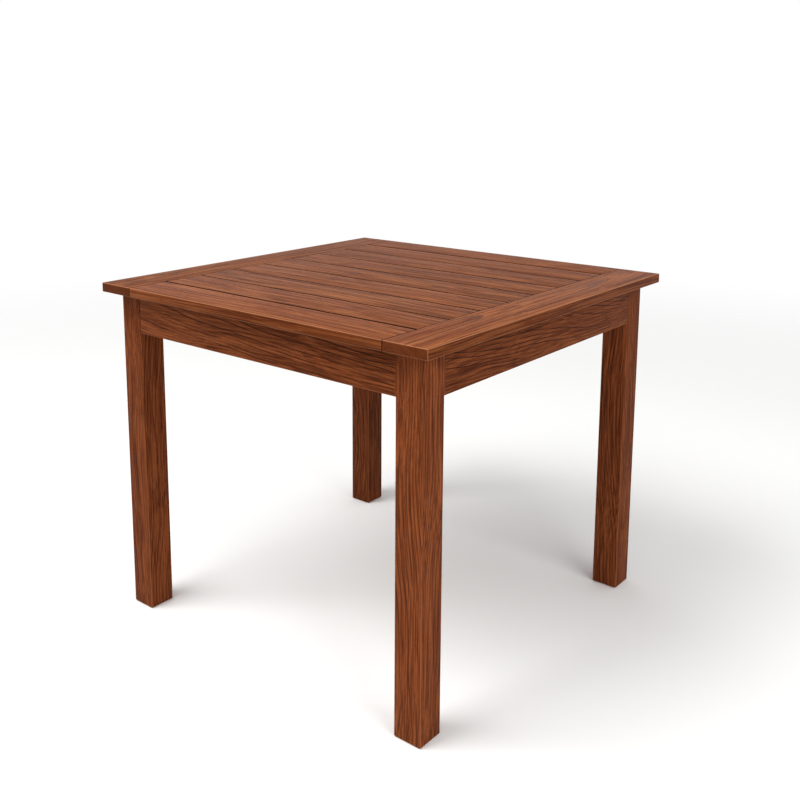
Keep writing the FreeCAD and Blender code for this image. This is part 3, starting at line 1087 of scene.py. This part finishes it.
# How each board was sawn: where it starts along its log, how far the log's middle lies from the
# board's own middle, how light it is and how warm it is
board_cuts = {
    "front_edge_board": (0.10, (0.060, 0.070), -0.08, 0.10),
    "top_slat_1": (1.30, (0.120, 0.050), -0.10, 0.05),
    "top_slat_2": (2.70, (-0.100, 0.060), -0.13, 0.00),
    "top_slat_3": (3.90, (0.080, 0.045), -0.08, 0.02),
    "top_slat_4": (5.20, (0.140, -0.030), -0.12, 0.00),
    "top_slat_5": (6.50, (-0.120, -0.050), -0.15, 0.03),
    "top_slat_6": (7.70, (0.100, 0.070), -0.10, 0.00),
    "top_slat_7": (9.10, (-0.090, 0.050), -0.14, 0.05),
    "back_edge_board": (10.40, (0.110, -0.060), -0.13, 0.05),
    "end_board_left": (11.70, (0.090, 0.050), -0.16, 0.00),
    "end_board_right": (13.20, (-0.010, -0.070), -0.08, 0.07),
}
apron_cuts = {
    "apron_front": (0.45, (0.050, 0.065), -0.10, 0.00),
    "apron_right": (1.60, (-0.045, 0.060), -0.16, 0.00),
    "apron_back": (3.10, (-0.050, 0.060), -0.04, 0.00),
    "apron_left": (4.70, (0.045, 0.065), -0.04, 0.00),
}
leg_cuts = {
    "front_left": (0.20, (-0.090, 0.080), -0.12, 0.05),
    "front_right": (2.10, (-0.080, 0.090), -0.02, 0.10),
    # The back left leg is painted darker as shade: it stands back under the top
    "back_left": (4.00, (-0.080, 0.085), -0.30, 0.00),
    "back_right": (6.20, (-0.090, 0.080), -0.12, 0.00),
}
batten_cuts = {
    "batten_left": (0.30, (0.070, 0.050), 0.00, 0.00),
    "batten_right": (1.90, (-0.060, 0.060), -0.03, 0.00),
}
brace_cuts = {
    "front_left": (0.70, (0.060, 0.050), 0.00, 0.00),
    "front_right": (1.40, (0.070, -0.050), -0.03, 0.00),
    "back_left": (2.20, (0.060, 0.060), 0.02, 0.00),
    "back_right": (3.10, (0.070, 0.050), -0.02, 0.00),
}

top_wood = wood("oiled_top_wood", top_look)
apron_wood = wood("oiled_apron_wood", apron_look)
leg_wood = wood("oiled_leg_wood", leg_look)
inner_wood = wood("inner_wood", inner_look)
steel = zinc_steel()
nylon = glide_nylon()

for name in long_boards:
    make_long_board(name, board_cuts[name], top_wood)
for name in end_boards:
    make_end_board(name, board_cuts[name], top_wood)
for quarters, (name, cut) in enumerate(apron_cuts.items()):
    make_apron(name, quarters, cut, apron_wood)
for corner, cut in leg_cuts.items():
    make_leg(corner, cut, leg_wood)
for name, cut in batten_cuts.items():
    make_batten(name, cut, inner_wood)
make_buttons(inner_wood)
for corner, cut in brace_cuts.items():
    make_brace(corner, cut, inner_wood)
    make_glide(corner, nylon)
make_screws(steel)
make_bolts(steel)
make_washers(steel)
make_nuts(steel)


# Floor, light and camera

floor_radius = 8.0
floor_steps = 64
floor_fade = (1.3, 4.5)
floor_gain = 1.25
floor_grit_scale = 30.0
world_strength = 0.55
lamp_aim = (0, 0, 0.4)
camera_sensor = 36.0


def background_share(start):
    """1 for the rays that show the background: straight to the camera, in metal or through glass."""
    share = 0.0
    for ray in ("Is Camera Ray", "Is Glossy Ray", "Is Transmission Ray"):
        share = start.sum("MAXIMUM", share, start.node("ShaderNodeLightPath", output=ray))
    return share


def floor_finish():
    """Pale matt floor, seen a little lighter than it lights the table, that fades into white."""
    material, start = new_material("pale_floor")
    place = start.node("ShaderNodeTexCoord", output="Object")
    fade = step_between(length_of(place), *floor_fade)
    fade = start.sum("MAXIMUM", fade, start.node("ShaderNodeNewGeometry", output="Backfacing"))
    grit = cloud(scaled(place, floor_grit_scale), detail=4.0)
    colour = blend(grit, paint(240, 240, 239), paint(237, 237, 236))
    colour = scaled(colour, 1.0 + (floor_gain - 1.0) * background_share(start))
    pale = start.node("ShaderNodeBsdfDiffuse", None, {"Color": colour})
    clear = start.node("ShaderNodeBsdfTransparent")
    mixed = start.node("ShaderNodeMixShader", None, {0: fade, 1: pale, 2: clear})
    start.node("ShaderNodeOutputMaterial", None, {"Surface": mixed})
    return material


def make_floor():
    shape = bmesh.new()
    bmesh.ops.create_circle(shape, cap_ends=True, radius=floor_radius, segments=floor_steps)
    floor = as_object("studio_floor", shape)
    floor.data.materials.append(floor_finish())


def make_world():
    """White where it is seen, and a softer white where it lights the table."""
    world = bpy.data.worlds.new("studio_world")
    world.use_nodes = True
    world.node_tree.nodes.clear()
    start = Socket(world.node_tree)
    level = world_strength + (1.0 - world_strength) * background_share(start)
    light = start.node("ShaderNodeBackground", None, {"Color": (1.0, 1.0, 1.0, 1.0), "Strength": level})
    start.node("ShaderNodeOutputWorld", None, {"Surface": light})
    bpy.context.scene.world = world


def put_in_studio(name, data, place, direction):
    """Put a lamp or the camera at a place, looking in a direction."""
    made = bpy.data.objects.new(name, data)
    made.location = place
    made.rotation_mode = "QUATERNION"
    made.rotation_quaternion = direction.to_track_quat("-Z", "Y")
    bpy.context.scene.collection.objects.link(made)
    return made


def make_lamp(name, place, size, power):
    """A soft square lamp that faces the table."""
    lamp = bpy.data.lights.new(name, "AREA")
    lamp.shape = "SQUARE"
    lamp.size = size
    lamp.energy = power
    put_in_studio(name, lamp, place, Vector(lamp_aim) - Vector(place))


def make_camera(place, azimuth, elevation, lens, shift):
    """A camera at a place that looks along a bearing, given as azimuth and elevation."""
    data = bpy.data.cameras.new("studio_camera")
    data.lens = lens
    data.sensor_width = camera_sensor
    data.shift_x, data.shift_y = shift
    turn, rise = math.radians(azimuth), math.radians(elevation)
    back = Vector((math.sin(turn) * math.cos(rise), -math.cos(turn) * math.cos(rise), math.sin(rise)))
    bpy.context.scene.camera = put_in_studio("studio_camera", data, place, -back)


make_floor()
make_world()
make_lamp("key_lamp", place=(-1.2, -2.2, 4.0), size=2.6, power=133)
make_lamp("fill_lamp", place=(3.4, -0.8, 2.6), size=2.4, power=50)
make_camera(place=(1.3627, -1.6846, 1.1536), azimuth=40.11, elevation=9.88, lens=44.65, shift=(0.04, -0.17))

bpy.context.scene.view_settings.view_transform = "Standard"
